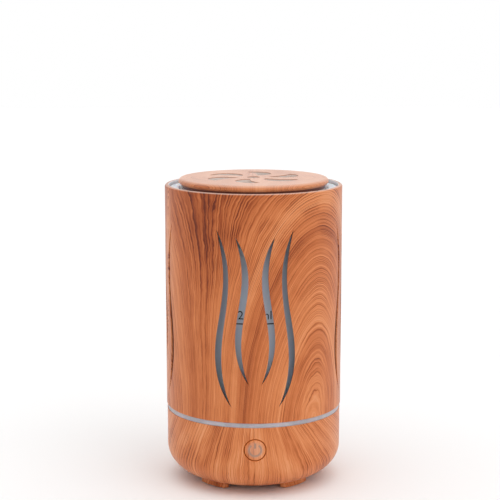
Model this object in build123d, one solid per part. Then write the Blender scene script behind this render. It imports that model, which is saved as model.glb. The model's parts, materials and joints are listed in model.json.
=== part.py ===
from build123d import *
import os
from math import degrees, radians, tan

# Ultrasonic essential oil diffuser with a lift-off sleeve and lid.
# Millimetres. +Z is up, the button faces -Y, and the origin is the centre of the plane it rests on.

# ---------------------------------------------------------------- driving dimensions
SLEEVE_R = 48.0            # outside radius of the sleeve, the widest part
SLEEVE_WALL = 2.2
SEAT_GAP = 0.05            # play left between parts that rest on each other
SCREW_GAP = 0.02           # play left under a small screw's head
BOTTOM_Z = 2.3             # underside of the bowl
BASE_R = 47.7              # outside radius of the bowl
BASE_WALL = 2.0
BASE_TOP_Z = 39.4
CURVE_W = 21.6             # width and height of the bowl's rounded bottom edge
CURVE_H = 16.6
RING_R = 47.4              # light ring
RING_TOP_Z = 41.8
RIM_Z = 162.9              # top of the sleeve
TANK_R = 42.5
TANK_WALL = 2.0
TANK_FLOOR_Z = 42.6
TANK_FLOOR_T = 2.2
TANK_TOP_Z = 161.0
TANK_FLANGE_R = 45.3
TANK_RIM_R = 45.2          # rim of the tank's floor, which rests on the light ring
TANK_RIM_LOW_Z = 40.65
TANK_RIM_TOP_Z = 43.8
LID_TOP_Z = 166.3
LID_R = 40.6               # widest radius of the lid
LID_WIDEST_Z = 164.1
LID_PLATE_T = 2.4          # thickness of the lid's middle
LID_SKIRT_R = 38.6         # undercut skirt that stands on the plug
LID_LOW_Z = 161.2          # underside of the skirt and top of the plug
LID_SCREW_R = 34.5         # circle of the lid's three screws
PLUG_R = 39.6              # plug in the mouth of the tank
PLUG_LOW_Z = 149.2         # underside of the plug's skirt, which rests on the tank's ribs
PLUG_PLATE_T = 1.7
PLUG_BORE_R = 9.0          # hole in the plug that the nozzle stands in
GROOVE_LOW_Z = 153.5       # groove for the seal
GROOVE_TOP_Z = 156.5
NOZZLE_IN_R = 7.6
FOOT_MID_R = 30.8
FOOT_W = 5.0
FOOT_SPAN = 26.0           # degrees between the centres of a foot's round ends
FOOT_Z = 0.45              # underside of the moulded foot, which the pad stands out of
FOOT_WALL = 0.9            # rim of the moulded foot round its pad
FOOT_ANGLES = (45, 135, 225, 315)
BUTTON_Z = 27.4
BUTTON_R = 5.6
BUTTON_HOLE_R = 6.0
BUTTON_BACK_Y = -44.6      # back of the button's face, where its flange begins
BUTTON_STEM_R = 1.7
STEM_END_Y = -41.0         # where the button's stem meets the switch's plunger
SWITCH_BOARD_Y = -36.4     # front face of the switch board
SWITCH_BOARD_BACK_Y = -34.8
SWITCH_SCREW_X = 11.8      # screws of the switch board, either side of the button
JACK_Z = 24.0
JACK_PIN_R = 1.0
JACK_BORE_R = 3.1
JACK_BORE_Y = 38.5         # bottom of the inlet's bore
JACK_ROOT_Y = 36.8         # where the pin's thicker root begins
JACK_ROOT_R = 1.3
JACK_BARREL_R = 4.0
JACK_FLANGE_Y = 46.6       # seat of the inlet's flange in the bowl
JACK_NUT_Y = 43.5          # pad inside the bowl that the nut is tightened against
FAN_X = 16.0
FAN_SIZE = 30.0
FAN_LOW_Z = 6.5
FAN_T = 8.0
FAN_HOLE_STEP = 12.0       # fan screw holes, measured from the fan's centre
FAN_PASSAGE_R = 14.0
BLADE_TIP_R = 13.4
SHAFT_R = 0.75
BUSH_R = 1.6
BUSH_BORE_R = 0.8
BUSH_TOP_Z = 11.5
BUSH_LOW_Z = FAN_LOW_Z + 0.8
DUCT_FLANGE_T = 1.2
CHIMNEY_R = 7.5
CHIMNEY_WALL = 1.5
CHIMNEY_LOW_Z = 30.2
CHIMNEY_TOP_Z = 146.5
CHIMNEY_COLLAR_R = 9.0
WELL_X = -13.0             # transducer well
WELL_R = 13.0
WELL_LOW_Z = 36.0
DISC_R = 10.0
DISC_LOW_Z = 37.9
DISC_TOP_Z = 39.1
SEAL_LOW_Z = 37.0
SEAL_TOP_Z = 39.45
CLAMP_LOW_Z = 34.6
CLAMP_TOP_Z = 35.95
CLAMP_CIRCLE_R = 14.5
POST_X = 11.5              # screw posts that join bowl and tank
POST_Y = 19.9
POST_TOP_Z = 30.0
POST_R = 3.6
SCREW_SEAT_T = 2.5         # what the long screws' heads leave of a post's top
BOARD_Z = 14.0
BOARD_T = 1.6
BOARD_POSTS = ((-33.0, 14.0), (-33.0, -14.0), (-13.0, 27.0), (-13.0, -27.0))
LED_BOARD_Z = 37.0
LED_CIRCLE_R = 38.0        # circle of the lights and of the stakes that hold their board
LED_COUNT = 6
HEAT_SINK_TOP_Z = 31.0

# ---------------------------------------------------------------- derived dimensions
SLEEVE_IN_R = SLEEVE_R - SLEEVE_WALL
SLEEVE_LOW_Z = RING_TOP_Z + SEAT_GAP
BASE_FLOOR_Z = BOTTOM_Z + BASE_WALL
CURVE_X = BASE_R - CURVE_W
CURVE_Z = BOTTOM_Z + CURVE_H
TANK_IN_R = TANK_R - TANK_WALL
TANK_WET_Z = TANK_FLOOR_Z + TANK_FLOOR_T
FAN_TOP_Z = FAN_LOW_Z + FAN_T
BOARD_TOP_Z = BOARD_Z + BOARD_T
CHIMNEY_BORE_R = CHIMNEY_R - CHIMNEY_WALL
SEAT_Z = 39.5              # floor of the transducer well, which the seal is pressed against
UPRIGHT = (Align.CENTER, Align.CENTER, Align.MIN)
ALL_NODES = {}


# ---------------------------------------------------------------- helpers
def save(node, shape):
    """Write one sub-part and keep it for the size print at the end."""
    ALL_NODES[node] = shape
    export_step(shape, f"parts/{node}.step")


def rod(radius, z_low, z_high, x=0.0, y=0.0):
    """Upright cylinder between two heights."""
    return Pos(x, y, z_low) * Cylinder(radius, z_high - z_low, align=UPRIGHT)


def tube(r_out, r_in, z_low, z_high, x=0.0, y=0.0):
    """Upright tube between two heights."""
    return rod(r_out, z_low, z_high, x, y) - rod(r_in, z_low, z_high, x, y)


def rod_y(radius, y_low, y_high, x, z):
    """Cylinder lying along Y."""
    lying = Rot(-90, 0, 0) * Cylinder(radius, y_high - y_low, align=UPRIGHT)
    return Pos(x, y_low, z) * lying


def block(x, y, z):
    """Box from its (low, high) limits along each axis."""
    centre = Pos((x[0] + x[1]) / 2, (y[0] + y[1]) / 2, (z[0] + z[1]) / 2)
    return centre * Box(x[1] - x[0], y[1] - y[0], z[1] - z[0])


def turned(*corners):
    """Solid of revolution about Z from (radius, height) corners."""
    outline = make_face(Polyline(*corners, close=True))
    return revolve(Plane.XZ * outline, Axis.Z)


def joined(parts):
    """One fused shape from a list."""
    whole = parts[0]
    for part in parts[1:]:
        whole = whole + part
    return whole


def screw(head_r, head_h, shank_r, length):
    """Pan-head screw, head on top at z 0 to head_h, shank down, with a cross recess."""
    rounding = head_h * 0.45
    head = fillet(rod(head_r, 0, head_h).edges().group_by(Axis.Z)[-1], rounding)
    slot_w = head_r * 0.28
    slot_l = head_r * 1.15
    depth = (rounding, head_h + 1)
    cross = block((-slot_l / 2, slot_l / 2), (-slot_w / 2, slot_w / 2), depth)
    cross = cross + Rot(0, 0, 90) * cross
    shank = chamfer(rod(shank_r, -length, 0).edges().group_by(Axis.Z)[0], shank_r * 0.5)
    return head - cross + shank


def bend_radii(points, share=0.45):
    """Largest even bends for a path: a share of the shorter run over the tangent of half the turn."""
    runs = [Vector(*b) - Vector(*a) for a, b in zip(points, points[1:])]
    pairs = zip(runs, runs[1:])
    return [share * min(a.length, b.length) / tan(radians(a.get_angle(b)) / 2) for a, b in pairs]


def lead(points, radius):
    """Round lead along straight runs joined by tangent arcs."""
    path = FilletPolyline(*points, radius=bend_radii(points))
    section = Plane(path @ 0, z_dir=path % 0) * Circle(radius)
    return sweep(section, path=path)


# ---------------------------------------------------------------- bowl and feet
def bowl_solid(inset):
    """Filled bowl whose surface is the outer surface moved inwards by inset."""
    centre = (CURVE_X, CURVE_Z)
    corner = EllipticalCenterArc(centre, CURVE_W - inset, CURVE_H - inset, start_angle=-90, arc_size=90)
    side = Line(corner @ 1, (BASE_R - inset, BASE_TOP_Z))
    top = Polyline(side @ 1, (0, BASE_TOP_Z), (0, BOTTOM_Z + inset), corner @ 0)
    return revolve(Plane.XZ * make_face([corner, side, top]), Axis.Z)


def foot_bar(width, z_low, z_high, angle):
    """Curved bar with round ends that follows the circle of the feet."""
    half = FOOT_SPAN / 2
    line = CenterArc((0, 0), FOOT_MID_R, angle - half, FOOT_SPAN)
    return Pos(0, 0, z_low) * extrude(SlotArc(line, width), z_high - z_low)


def intake_grille():
    """Arc slots under the fan, four to a circle."""
    slots = []
    slot_w = 1.7
    bar_w = 1.6
    for radius in (4.4, 7.9, 11.4):
        gap = degrees((slot_w + bar_w) / radius)
        for quarter in range(4):
            line = CenterArc((0, 0), radius, quarter * 90 + gap / 2, 90 - gap)
            slots.append(extrude(SlotArc(line, slot_w), 4))
    return Pos(FAN_X, 0, BOTTOM_Z - 1) * joined(slots)


def post_places():
    """Places of the four screw posts."""
    return [(sx * POST_X, sy * POST_Y) for sx in (-1, 1) for sy in (-1, 1)]


def led_stake_places():
    """Places of the four stakes that hold the light board."""
    return PolarLocations(LED_CIRCLE_R, 4, 45)


def clamp_places():
    """Places of the three clamp screws round the transducer well."""
    return [Pos(WELL_X, 0, 0) * place for place in PolarLocations(CLAMP_CIRCLE_R, 3, 60)]


def switch_screw_places():
    """Places across of the switch board's two screws."""
    return (-SWITCH_SCREW_X, SWITCH_SCREW_X)


def fan_screw_places():
    """Places of the four fan screws."""
    return [(FAN_X + sx * FAN_HOLE_STEP, sy * FAN_HOLE_STEP) for sx in (-1, 1) for sy in (-1, 1)]


def base_shell():
    """Bowl with feet, posts, button guide, inlet pad and grille."""
    fan_post_r = 2.4
    board_post_r = 2.8
    switch_post_r = 2.3
    guide_y = -43.0
    guide_r = 8.9
    guide_in_r = 7.6
    pad_r = 7.5
    outer = bowl_solid(0)
    shell = outer - bowl_solid(BASE_WALL)
    inside = [rod(POST_R, BOTTOM_Z, POST_TOP_Z, x, y) for x, y in post_places()]
    inside += [rod(fan_post_r, BOTTOM_Z, FAN_LOW_Z, x, y) for x, y in fan_screw_places()]
    inside += [rod(board_post_r, BOTTOM_Z, BOARD_Z, x, y) for x, y in BOARD_POSTS]
    inside += [rod_y(switch_post_r, -BASE_R, SWITCH_BOARD_Y, x, BUTTON_Z) for x in switch_screw_places()]
    guide = rod_y(guide_r, -BASE_R, guide_y, 0, BUTTON_Z) - rod_y(guide_in_r, -BASE_R, guide_y, 0, BUTTON_Z)
    inside.append(guide)
    inside.append(rod_y(pad_r, JACK_NUT_Y, BASE_R, 0, JACK_Z))
    for piece in inside:
        shell = shell + (piece & outer)
    for angle in FOOT_ANGLES:
        shell = shell + foot_bar(FOOT_W, FOOT_Z, BASE_FLOOR_Z - 0.1, angle)
        shell = shell - foot_bar(FOOT_W - 2 * FOOT_WALL, FOOT_Z - 1, FOOT_Z + 1.05, angle)
    return shell - base_holes() - intake_grille()


def base_holes():
    """Screw wells, pilot holes, the button's hole and the inlet's stepped hole."""
    holes = []
    for x, y in post_places():
        holes.append(rod(2.6, BOTTOM_Z - 1, POST_TOP_Z - SCREW_SEAT_T, x, y))
        holes.append(rod(1.45, 0, POST_TOP_Z + 1, x, y))
    for x, y in fan_screw_places():
        holes.append(rod(1.15, BOTTOM_Z + 1.0, FAN_LOW_Z + 1, x, y))
    for x, y in BOARD_POSTS:
        holes.append(rod(1.05, BOARD_Z - 6, BOARD_Z + 1, x, y))
    for x in switch_screw_places():
        holes.append(rod_y(0.95, -42.5, SWITCH_BOARD_Y + 0.4, x, BUTTON_Z))
    holes.append(rod_y(BUTTON_HOLE_R, -BASE_R - 1, -44, 0, BUTTON_Z))
    holes.append(rod_y(6.1, JACK_FLANGE_Y, BASE_R + 1, 0, JACK_Z))
    holes.append(rod_y(JACK_BARREL_R + 0.1, 43, BASE_R + 1, 0, JACK_Z))
    return holes


def foot_pad(angle):
    """Rubber pad that stands out of a foot."""
    pad = foot_bar(FOOT_W - 2 * FOOT_WALL - 0.2, 0, FOOT_Z + 1.0, angle)
    return fillet(pad.edges().group_by(Axis.Z)[0], 0.25)


def base_screws():
    """Four long screws from below, through the posts into the tank."""
    one = Rot(180, 0, 0) * screw(2.3, 1.7, 1.3, 9.0)
    return [Pos(x, y, POST_TOP_Z - SCREW_SEAT_T - SEAT_GAP) * one for x, y in post_places()]


# ---------------------------------------------------------------- light ring and sleeve
def light_ring():
    """Translucent band with a spigot into the bowl and a web under the tank."""
    web_z = 40.6
    web_r = 41.5
    spigot_z = 36.5
    spigot_r = 45.4
    spigot_in_r = 43.9
    return turned(
        (web_r, BASE_TOP_Z), (spigot_in_r, BASE_TOP_Z), (spigot_in_r, spigot_z), (spigot_r, spigot_z),
        (spigot_r, BASE_TOP_Z), (RING_R, BASE_TOP_Z), (RING_R, RING_TOP_Z), (spigot_r, RING_TOP_Z),
        (spigot_r, web_z), (web_r, web_z),
    )


def slot_face(stations):
    """Wavy slot from (middle x, height, width) stations, pointed at both ends."""
    left = Spline(*[(x - w / 2, z) for x, z, w in stations])
    right = Spline(*[(x + w / 2, z) for x, z, w in stations])
    return make_face([left, right])


def slot_group():
    """Cutters for the four wavy slots of the front group, cut straight along Y."""
    outer = slot_face((
        (20.0, 144.4, 0), (17.4, 136, 1.5), (15.9, 128.5, 2.2), (15.25, 116, 2.6), (16.7, 101, 3.0),
        (18.6, 88, 3.3), (19.25, 76, 3.2), (18.0, 64.5, 2.5), (12.3, 50.2, 0),
    ))
    inner = slot_face((
        (10.3, 140.6, 0), (7.1, 132.3, 2.1), (5.3, 122, 3.2), (5.6, 111.5, 3.6), (7.3, 100, 3.6),
        (8.8, 87, 3.3), (8.1, 76, 2.5), (3.1, 62.4, 0),
    ))
    faces = (outer, inner, mirror(outer, Plane.YZ), mirror(inner, Plane.YZ))
    return [extrude(Plane.XZ.offset(35) * face, 20) for face in faces]


def sleeve():
    """Tall cover with a rounded rim and four groups of wavy slots."""
    outer_rounding = 1.1
    inner_rounding = 0.5
    wall = tube(SLEEVE_R, SLEEVE_IN_R, SLEEVE_LOW_Z, RIM_Z)
    rim = wall.edges().group_by(Axis.Z)[-1].sort_by(SortBy.RADIUS)
    wall = fillet(rim[-1], outer_rounding)
    rim = wall.edges().group_by(Axis.Z)[-1].sort_by(SortBy.RADIUS)
    wall = fillet(rim[0], inner_rounding)
    foot = wall.edges().group_by(Axis.Z)[0]
    wall = chamfer(foot, 0.3)
    for quarter in range(4):
        for cutter in slot_group():
            wall = wall - Rot(0, 0, quarter * 90) * cutter
    return wall


# ---------------------------------------------------------------- tank
def tank():
    """Tank wall with its top flange and four ribs that the lid rests on."""
    body = tube(TANK_R, TANK_IN_R, TANK_RIM_TOP_Z, TANK_TOP_Z)
    body = body + tube(TANK_FLANGE_R, TANK_IN_R, TANK_TOP_Z - 1.5, TANK_TOP_Z)
    rib_low = 126.3
    rib_depth = 2.8
    rib_h = PLUG_LOW_Z - SEAT_GAP - rib_low
    for place in PolarLocations(TANK_IN_R - 0.4, 4, 45):
        rib = Pos(0, 0, rib_low) * Box(rib_depth, 1.6, rib_h, align=UPRIGHT)
        slope = Pos(-rib_depth / 2, 0, rib_low) * Rot(0, 14, 0) * Box(4, 4, 26, align=UPRIGHT)
        body = body + place * (rib - slope)
    return body


def tank_floor():
    """Tank floor with its rim, transducer well, screw posts and stakes for the light board."""
    rim_in_r = 40.0
    boss_low_z = 39.0
    ear_r = 3.0
    post_r = 3.2
    body = rod(TANK_IN_R - SEAT_GAP, TANK_FLOOR_Z, TANK_WET_Z)
    body = body + tube(TANK_RIM_R, rim_in_r, TANK_RIM_LOW_Z, TANK_RIM_TOP_Z)
    body = body + rod(WELL_R, WELL_LOW_Z, TANK_WET_Z, WELL_X)
    body = body + rod(CHIMNEY_COLLAR_R, boss_low_z, TANK_WET_Z, FAN_X)
    for place in clamp_places():
        body = body + Pos(0, 0, WELL_LOW_Z) * place * Cylinder(ear_r, 7, align=UPRIGHT)
    for x, y in post_places():
        body = body + rod(post_r, POST_TOP_Z, TANK_FLOOR_Z + 1, x, y)
    for place in led_stake_places():
        pad = Pos(0, 0, LED_BOARD_Z + BOARD_T) * Cylinder(2.4, 5, align=UPRIGHT)
        stake = Pos(0, 0, LED_BOARD_Z - 1.2) * Cylinder(1.1, 4, align=UPRIGHT)
        body = body + place * (pad + stake)
    return body - tank_floor_holes()


def tank_floor_holes():
    """Funnel and bore of the transducer well, chimney bore and pilot holes."""
    funnel_h = TANK_WET_Z - SEAT_Z + 0.01
    holes = [Pos(WELL_X, 0, SEAT_Z) * Cone(9.0, 12.4, funnel_h, align=UPRIGHT)]
    holes.append(rod(DISC_R + 0.9, WELL_LOW_Z - 1, SEAT_Z, WELL_X))
    holes.append(rod(CHIMNEY_R + SEAT_GAP, 38, TANK_WET_Z + 1, FAN_X))
    for place in clamp_places():
        holes.append(Pos(0, 0, WELL_LOW_Z - 1) * place * Cylinder(1.0, 6.5, align=UPRIGHT))
    for x, y in post_places():
        holes.append(rod(1.32, POST_TOP_Z - 1, POST_TOP_Z + 8, x, y))
    return holes


def air_chimney():
    """Air tube that stands in the tank on its collar and reaches down into the duct."""
    outside = rod(CHIMNEY_R, CHIMNEY_LOW_Z, CHIMNEY_TOP_Z, FAN_X)
    outside = outside + rod(CHIMNEY_COLLAR_R, TANK_WET_Z, TANK_WET_Z + 1.5, FAN_X)
    return outside - rod(CHIMNEY_BORE_R, CHIMNEY_LOW_Z - 1, CHIMNEY_TOP_Z + 1, FAN_X)


# ---------------------------------------------------------------- mist maker
def transducer_seal():
    """Silicone ring with a groove round the edge of the disc."""
    ring_r = DISC_R + 0.8
    lip_r = DISC_R - 1.2
    return turned(
        (lip_r, SEAL_LOW_Z), (ring_r, SEAL_LOW_Z), (ring_r, SEAL_TOP_Z), (lip_r, SEAL_TOP_Z),
        (lip_r, DISC_TOP_Z), (DISC_R, DISC_TOP_Z), (DISC_R, DISC_LOW_Z), (lip_r, DISC_LOW_Z),
    )


def transducer_disc():
    """Piezo disc with a raised electrode underneath."""
    electrode_r = 7.4
    electrode_t = 0.15
    disc = rod(DISC_R, DISC_LOW_Z, DISC_TOP_Z, WELL_X)
    return disc + rod(electrode_r, DISC_LOW_Z - electrode_t, DISC_LOW_Z, WELL_X)


def transducer_clamp():
    """Clamp ring with three ears and a spigot that presses the seal."""
    ear_r = 2.9
    hole_r = 1.15
    ring = tube(12.6, 8.2, CLAMP_LOW_Z, CLAMP_TOP_Z, WELL_X)
    ring = ring + tube(10.6, 8.8, CLAMP_TOP_Z, SEAL_LOW_Z, WELL_X)
    for place in clamp_places():
        ear = Pos(0, 0, CLAMP_LOW_Z) * place * Cylinder(ear_r, CLAMP_TOP_Z - CLAMP_LOW_Z, align=UPRIGHT)
        ring = ring + ear
    for place in clamp_places():
        ring = ring - Pos(0, 0, CLAMP_LOW_Z - 1) * place * Cylinder(hole_r, 4, align=UPRIGHT)
    return ring


def clamp_screws():
    """Three screws that hold the clamp ring to the tank."""
    one = Rot(180, 0, 0) * screw(1.9, 1.3, 0.95, 6.5)
    return [Pos(0, 0, CLAMP_LOW_Z - SEAT_GAP) * place * one for place in clamp_places()]


# ---------------------------------------------------------------- fan and air duct
def fan_frame():
    """Square fan frame with a round passage, four struts and a bearing tube."""
    hub_r = 6.8
    bearing_r = 2.3
    hole_r = 1.6
    frame = Pos(FAN_X, 0, FAN_LOW_Z) * Box(FAN_SIZE, FAN_SIZE, FAN_T, align=UPRIGHT)
    frame = fillet(frame.edges().filter_by(Axis.Z), 2.0)
    frame = frame - rod(FAN_PASSAGE_R, FAN_LOW_Z - 1, FAN_TOP_Z + 1, FAN_X)
    strut = Pos(0, 0, FAN_LOW_Z) * Box(2 * FAN_PASSAGE_R + 0.6, 1.6, 1.0, align=UPRIGHT)
    hub = rod(hub_r, FAN_LOW_Z, BUSH_LOW_Z) + rod(bearing_r, FAN_LOW_Z, BUSH_TOP_Z)
    spider = hub + Rot(0, 0, 45) * strut + Rot(0, 0, 135) * strut
    frame = frame + Pos(FAN_X, 0, 0) * (spider - rod(BUSH_R, BUSH_LOW_Z, BUSH_TOP_Z + 1))
    for x, y in fan_screw_places():
        frame = frame - rod(hole_r, FAN_LOW_Z - 1, FAN_TOP_Z + 1, x, y)
    return frame


def blade_section(radius, pitch, width, thickness):
    """Section of a blade at a radius, turned by its pitch."""
    middle_z = 10.6
    across = Plane((radius, 0, middle_z), x_dir=(0, 1, 0), z_dir=(1, 0, 0))
    return across * Rot(0, 0, pitch) * Rectangle(width, thickness)


def fan_blade():
    """One twisted blade reaching from the hub towards the frame."""
    return loft([blade_section(6.4, 42, 7.4, 0.9), blade_section(BLADE_TIP_R, 26, 8.6, 0.7)])


def fan_rotor():
    """Cup-shaped hub with seven blades."""
    blades = 7
    hub_r = 7.0
    hub_low_z = 7.7
    hub_top_z = 13.9
    cup = rod(hub_r - 1, 7.0, hub_top_z - 1)
    hub = rod(hub_r, hub_low_z, hub_top_z) - cup - rod(SHAFT_R, 12, 15)
    hub = fillet(hub.edges().group_by(Axis.Z)[-1].sort_by(SortBy.RADIUS)[-1], 0.6)
    keep = tube(BLADE_TIP_R, hub_r - 0.5, 7.0, 14.2)
    blade = fan_blade() & keep
    for turn in range(blades):
        hub = hub + Rot(0, 0, turn * 360 / blades) * blade
    return Pos(FAN_X, 0, 0) * hub


def rotor_magnet():
    """Ring magnet inside the rotor's hub."""
    outer_r = 5.95
    inner_r = 5.0
    return tube(outer_r, inner_r, 8.2, 12.85, FAN_X)


def fan_stator():
    """Four-pole core with its windings, round the bearing tube."""
    shoe_r = 4.6
    core = tube(3.2, 2.32, 8.4, 11.4)
    for quarter in range(4):
        arm = block((2.6, 4.2), (-0.6, 0.6), (8.8, 11.0))
        coil = block((3.1, 3.9), (-1.2, 1.2), (8.5, 11.3))
        shoe = block((3.9, shoe_r), (-2.0, 2.0), (8.6, 11.2)) & rod(shoe_r, 8, 12)
        core = core + Rot(0, 0, quarter * 90) * (arm + coil + shoe)
    return Pos(FAN_X, 0, 0) * core


def fan_screws():
    """Four screws through duct flange and fan into the bowl."""
    one = screw(2.2, 1.4, 1.1, 12.0)
    return [Pos(x, y, FAN_TOP_Z + DUCT_FLANGE_T + SEAT_GAP) * one for x, y in fan_screw_places()]


def air_duct():
    """Duct that narrows from the fan to the chimney, with a square flange."""
    neck_r = 8.9
    neck_in_r = 7.6
    neck_low = 15.0
    neck_top = 21.0
    flange = Box(FAN_SIZE, FAN_SIZE, DUCT_FLANGE_T, align=UPRIGHT)
    flange = fillet(flange.edges().filter_by(Axis.Z), 2.0)
    outside = Pos(0, 0, DUCT_FLANGE_T) * Cone(14.6, neck_r, neck_low - DUCT_FLANGE_T, align=UPRIGHT)
    outside = outside + rod(neck_r, neck_low, neck_top)
    inside = Pos(0, 0, -0.01) * Cone(13.9, neck_in_r, neck_low + 0.02, align=UPRIGHT)
    inside = inside + rod(neck_in_r, neck_low, neck_top + 1)
    duct = Pos(FAN_X, 0, FAN_TOP_Z) * (flange + outside - inside)
    seat_z = FAN_TOP_Z + DUCT_FLANGE_T
    for x, y in fan_screw_places():
        duct = duct - rod(2.7, seat_z, seat_z + 3.8, x, y) - rod(1.3, FAN_TOP_Z - 1, seat_z + 0.8, x, y)
    return duct


# ---------------------------------------------------------------- electronics
def main_board():
    """Driver board with round clearances for the posts."""
    board = block((-38, -8), (-30, 30), (BOARD_Z, BOARD_TOP_Z)) & rod(41, BOARD_Z, BOARD_TOP_Z)
    for y in (-POST_Y, POST_Y):
        board = board - rod(4.2, BOARD_Z - 1, BOARD_TOP_Z + 1, -POST_X, y)
    for x, y in BOARD_POSTS:
        board = board - rod(1.3, BOARD_Z - 1, BOARD_TOP_Z + 1, x, y)
    return board


def board_screws():
    """Four screws that hold the driver board."""
    one = screw(2.1, 1.4, 1.0, 7.0)
    return [Pos(x, y, BOARD_TOP_Z + SCREW_GAP) * one for x, y in BOARD_POSTS]


def heat_sink():
    """Finned aluminium plate standing on the board."""
    fins = 6
    fin_t = 1.2
    half = 9.5
    plate = block((-36, -34.2), (-half, half), (BOARD_TOP_Z, HEAT_SINK_TOP_Z))
    for step in range(fins):
        y = -half + step * (2 * half - fin_t) / (fins - 1)
        plate = plate + block((-39.4, -35.5), (y, y + fin_t), (BOARD_TOP_Z + 1.5, HEAT_SINK_TOP_Z))
    return plate


def power_transistor():
    """Plastic package with a metal tab and three legs."""
    low_z = 19.5
    half = 5.0
    body = block((-33.0, -29.6), (-half, half), (low_z, 28.5))
    body = body + block((-34.2, -33.0), (-half, half), (low_z, 30.8))
    for y in (-2.5, 0, 2.5):
        body = body + block((-32.0, -31.4), (y - 0.4, y + 0.4), (BOARD_TOP_Z, low_z))
    return body


def inductor():
    """Drum core with its winding."""
    place = (-22, 14.5)
    low_z = 17.0
    high_z = 23.6
    cheek_r = 5.0
    drum = rod(cheek_r, BOARD_TOP_Z, low_z, *place) + rod(4.5, low_z, high_z, *place)
    return drum + rod(cheek_r, high_z, 25.0, *place)


def capacitor(radius, height, x, y):
    """Electrolytic can with a bead near its foot and a scored top."""
    can = rod(radius, BOARD_TOP_Z, BOARD_TOP_Z + height, x, y)
    can = fillet(can.edges(), 0.5)
    bead = Pos(x, y, BOARD_TOP_Z + 1.9) * Torus(radius + 0.25, 0.5)
    top = BOARD_TOP_Z + height
    score = block((x - radius * 0.6, x + radius * 0.6), (y - 0.15, y + 0.15), (top - 0.3, top + 1))
    return can - bead - score


def controller_chip():
    """Small-outline chip with eight legs a side."""
    pitch = 1.27
    leg_half = 0.2
    leg_z = (16.5, 16.8)
    chip = block((-22, -18), (-5, 5), (15.9, 17.5))
    for step in range(8):
        y = (step - 3.5) * pitch
        across = (y - leg_half, y + leg_half)
        for x_in, x_out in ((-22, -23), (-18, -17)):
            toe = x_out - 0.4 if x_out > x_in else x_out + 0.4
            chip = chip + block(sorted((x_in, x_out)), across, leg_z)
            chip = chip + block(sorted((x_out, toe)), across, (BOARD_TOP_Z, leg_z[1]))
    return chip


def connector(y):
    """Plug in its open header at the board's edge."""
    plug_half = 2.6
    plug_z = (16.8, 20.2)
    across = (y - plug_half, y + plug_half)
    header = block((-13.2, -8.6), (y - 3.6, y + 3.6), (BOARD_TOP_Z, 21.2))
    plug_gap = block((-12.2, -8), (y - 2.8, y + 2.8), (16.6, 20.4))
    return header - plug_gap + block((-12.5, -8.5), across, plug_z)


def led_board():
    """Ring-shaped board under the tank."""
    outer_r = 42.3
    inner_r = 33.6
    hole_r = 1.15
    board = tube(outer_r, inner_r, LED_BOARD_Z, LED_BOARD_Z + BOARD_T)
    for place in led_stake_places():
        board = board - place * Cylinder(hole_r, 90)
    return board


def led(angle):
    """Square light-emitting diode with a round lens pocket."""
    case_w = 5.0
    case_h = 1.5
    lens_r = 2.0
    lens_depth = 0.4
    case = Box(case_w, case_w, case_h, align=UPRIGHT)
    pocket = Pos(0, 0, case_h - lens_depth) * Cylinder(lens_r, 1, align=UPRIGHT)
    return Rot(0, 0, angle) * Pos(LED_CIRCLE_R, 0, LED_BOARD_Z + BOARD_T) * (case - pocket)


def dc_jack():
    """Low-voltage inlet with a flange outside and a solder block inside."""
    block_y = 36.5
    barrel = rod_y(5.6, JACK_FLANGE_Y, JACK_FLANGE_Y + 1, 0, JACK_Z)
    barrel = barrel + rod_y(JACK_BARREL_R, block_y - 0.5, JACK_FLANGE_Y, 0, JACK_Z)
    barrel = barrel + block((-4, 4), (block_y - 3, block_y), (JACK_Z - 4, JACK_Z + 4))
    for x in (-2.2, 2.2):
        barrel = barrel + block((x - 0.9, x + 0.9), (31.5, 34), (JACK_Z - 0.2, JACK_Z + 0.2))
    bore = rod_y(JACK_BORE_R, JACK_BORE_Y, JACK_FLANGE_Y + 1.4, 0, JACK_Z)
    return barrel - bore - jack_root()


def jack_root():
    """Thicker root of the centre contact, seated in the solder block."""
    return rod_y(JACK_ROOT_R, JACK_ROOT_Y, JACK_BORE_Y, 0, JACK_Z)


def dc_jack_pin():
    """Centre contact of the inlet, with a thicker root and a chamfered tip."""
    pin = rod_y(JACK_PIN_R, JACK_BORE_Y, 46.5, 0, JACK_Z)
    return chamfer(pin.edges().group_by(Axis.Y)[-1], 0.25) + jack_root()


def dc_jack_nut():
    """Hexagon nut that holds the inlet from inside."""
    half_width = 5.6
    thickness = 1.7
    nut = extrude(Plane.XZ.offset(-JACK_NUT_Y) * RegularPolygon(half_width, 6, major_radius=False), thickness)
    return Pos(0, 0, JACK_Z) * nut - rod_y(JACK_BARREL_R + SEAT_GAP, 41, 44, 0, JACK_Z)


def switch_board():
    """Small upright board behind the button."""
    half_l = 14.6
    half_h = 5.0
    hole_r = 1.1
    height = (BUTTON_Z - half_h, BUTTON_Z + half_h)
    board = block((-half_l, half_l), (SWITCH_BOARD_Y, SWITCH_BOARD_BACK_Y), height)
    for x in switch_screw_places():
        board = board - rod_y(hole_r, SWITCH_BOARD_Y - 1, SWITCH_BOARD_BACK_Y + 1, x, BUTTON_Z)
    return board


def switch_screws():
    """Two screws that hold the switch board."""
    one = Rot(-90, 0, 0) * screw(1.9, 1.2, 0.9, 6.0)
    return [Pos(x, SWITCH_BOARD_BACK_Y + SCREW_GAP, BUTTON_Z) * one for x in switch_screw_places()]


def tact_switch():
    """Square push switch with a well for its plunger."""
    half = 3.0
    body = block((-half, half), (-39.6, SWITCH_BOARD_Y), (BUTTON_Z - half, BUTTON_Z + half))
    return body - rod_y(BUTTON_STEM_R + 0.1, -40, -37.6, 0, BUTTON_Z)


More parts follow.
